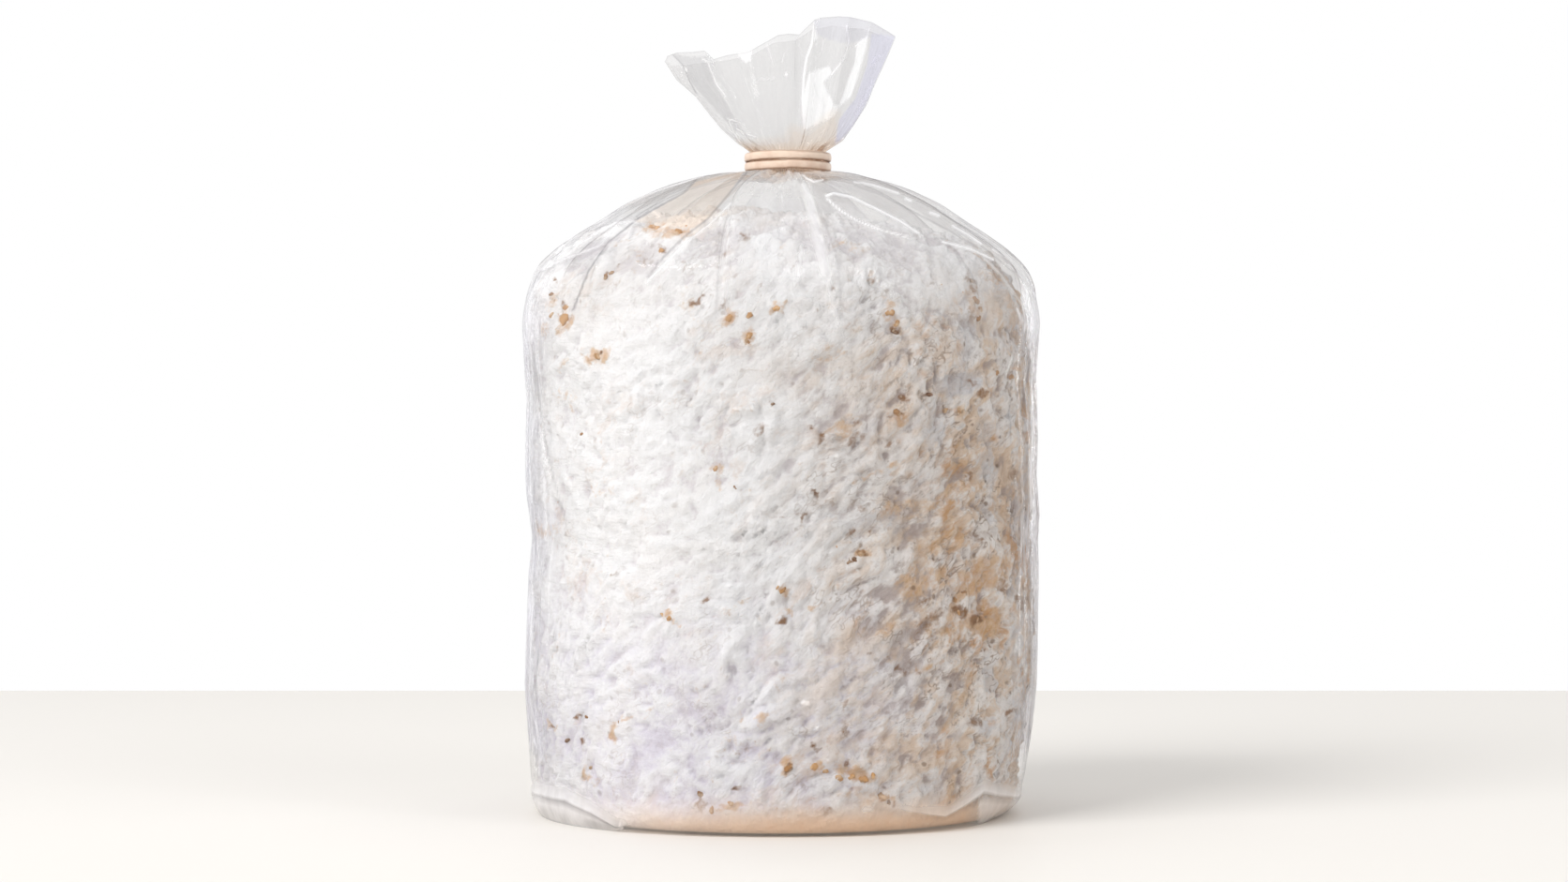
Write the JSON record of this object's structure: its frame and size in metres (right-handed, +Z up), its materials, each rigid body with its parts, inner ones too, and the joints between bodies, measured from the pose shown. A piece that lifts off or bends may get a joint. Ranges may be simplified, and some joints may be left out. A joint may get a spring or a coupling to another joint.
{
  "type": "mushroom grow bag",
  "caption": "Clear film grow bag full of a white mycelium block, gathered and tied with a rubber band, with a flared mouth above the tie.",
  "frame": {"origin": "middle of the flat bottom that the bag stands on", "axes": "+Z up through the block to the flared mouth, -Y towards the side in the picture"},
  "size_m": [0.1593, 0.1578, 0.2451],
  "materials": {
    "mycelium": "matte white felt of mycelium over pale sawdust",
    "clear_film": "clear glossy film with fine creases",
    "natural_rubber": "natural tan rubber, satin"
  },
  "bodies": {
    "root": {"mycelium_block": "mycelium", "film_bag": "clear_film", "rubber_band": "natural_rubber"}
  },
  "joints": []
}
